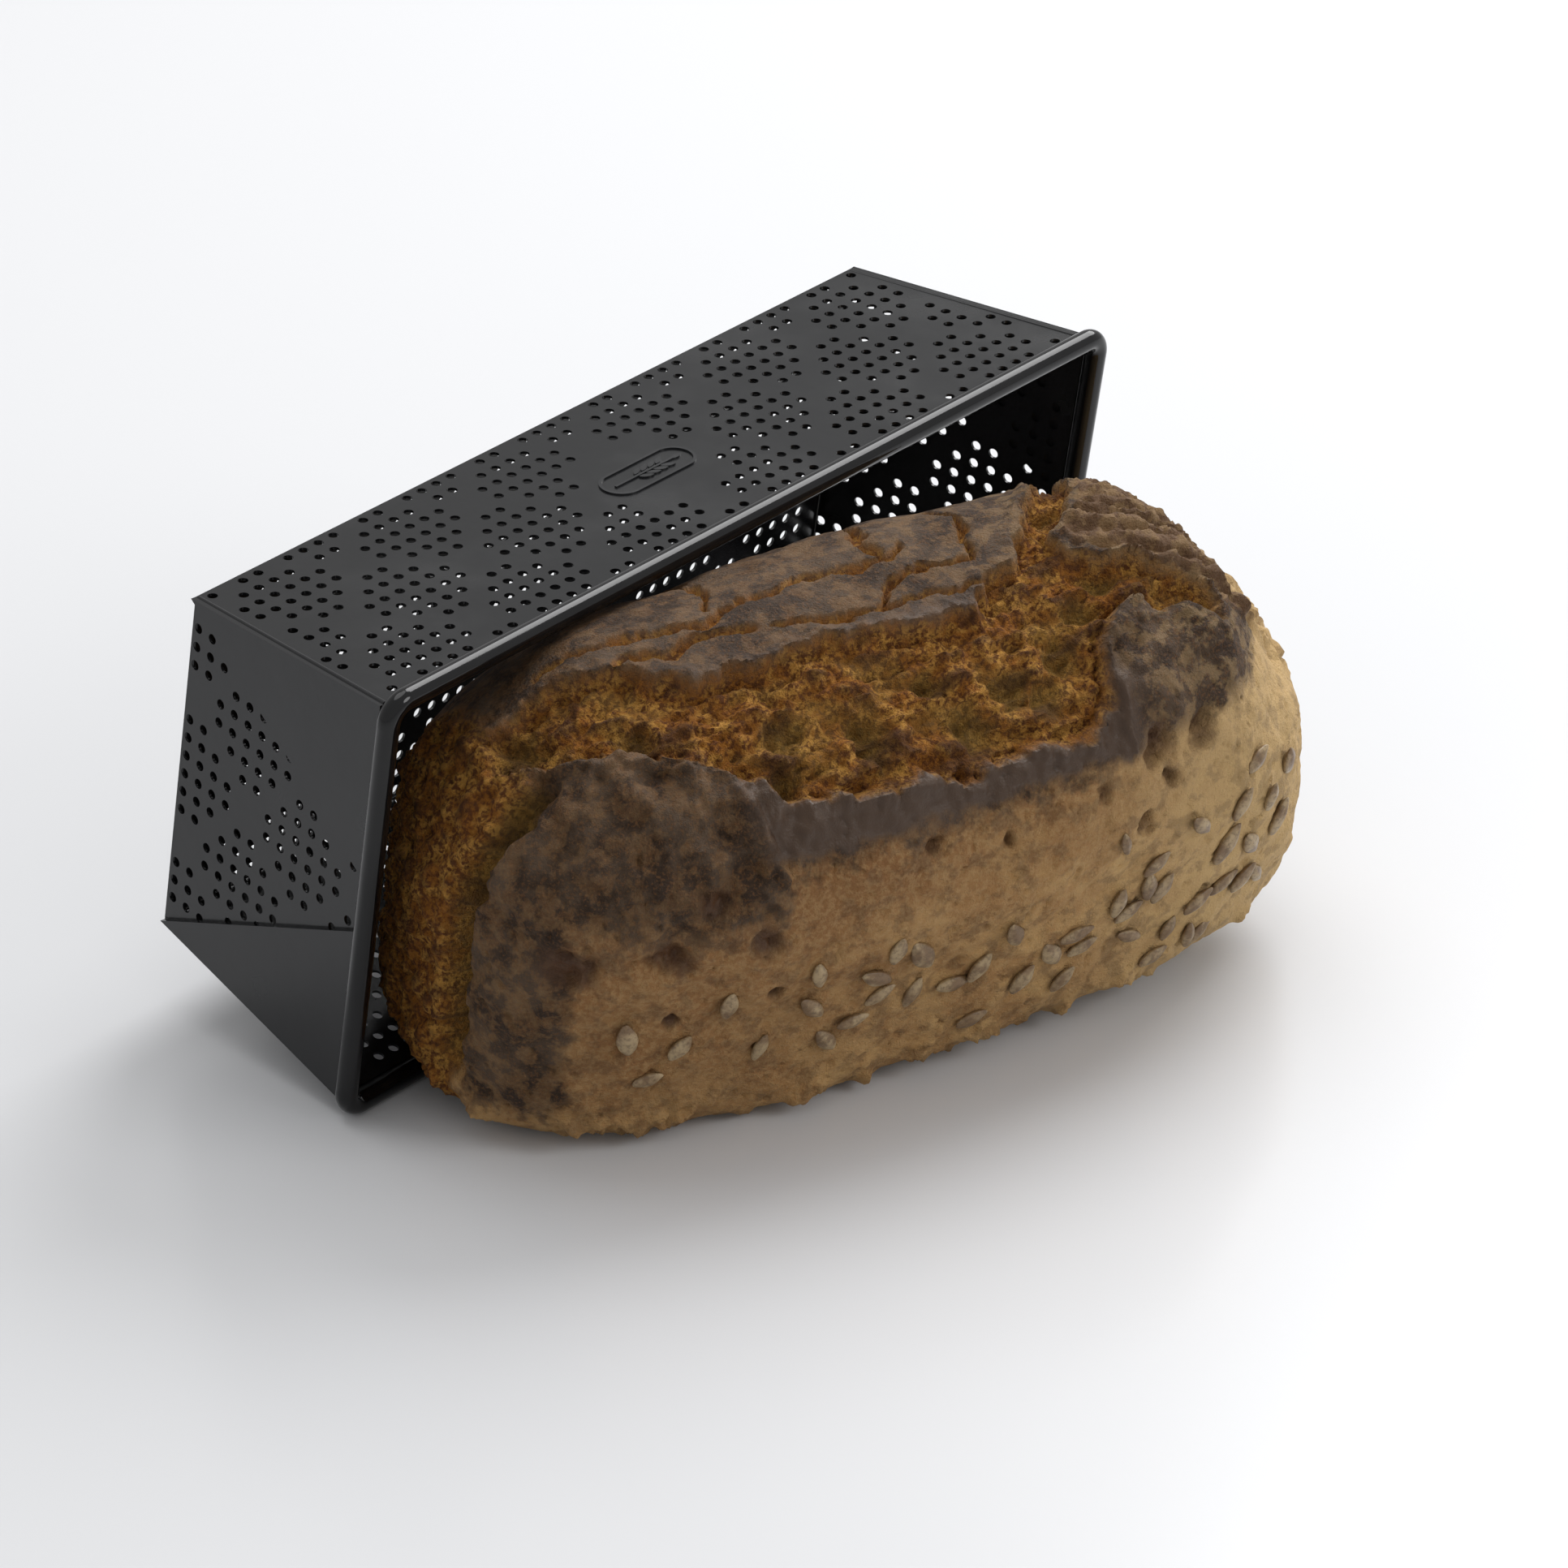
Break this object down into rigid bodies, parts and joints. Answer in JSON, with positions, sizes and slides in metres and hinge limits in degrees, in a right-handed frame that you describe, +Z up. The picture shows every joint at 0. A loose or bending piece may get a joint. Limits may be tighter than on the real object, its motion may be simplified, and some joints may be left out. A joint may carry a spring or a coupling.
{
  "type": "bread loaf in a loaf tin",
  "caption": "Seeded bread loaf with a torn dark crust, leaning out of a perforated steel loaf tin that lies on its long side.",
  "frame": {"origin": "on the ground, under the middle of the object's box", "axes": "+X along the tin's length, to the right as seen from the mouth; +Y from the mouth towards the tin's base; +Z up"},
  "size_m": [0.3078, 0.232, 0.1405],
  "materials": {
    "enamel": "gloss",
    "badge_line": "satin",
    "crust": "matte",
    "seed": "satin"
  },
  "bodies": {
    "tin": {"base_panel": "enamel", "upper_side_wall": "enamel", "lower_side_wall": "enamel", "left_end_wall": "enamel", "right_end_wall": "enamel", "gusset_left_upper": "enamel", "gusset_left_lower": "enamel", "gusset_right_upper": "enamel", "gusset_right_lower": "enamel", "rim_upper": "enamel", "rim_lower": "enamel", "rim_left": "enamel", "rim_right": "enamel", "badge": "badge_line"},
    "loaf": {"loaf_body": "crust", "seeds_front_left": "seed", "seeds_front_middle": "seed", "seeds_front_right": "seed", "seeds_right_end": "seed"}
  },
  "joints": [
    {"name": "loaf_slide", "type": "slide", "parent": "tin", "child": "loaf", "axis": [0, -1, 0], "range_m": [0, 0.12]}
  ]
}
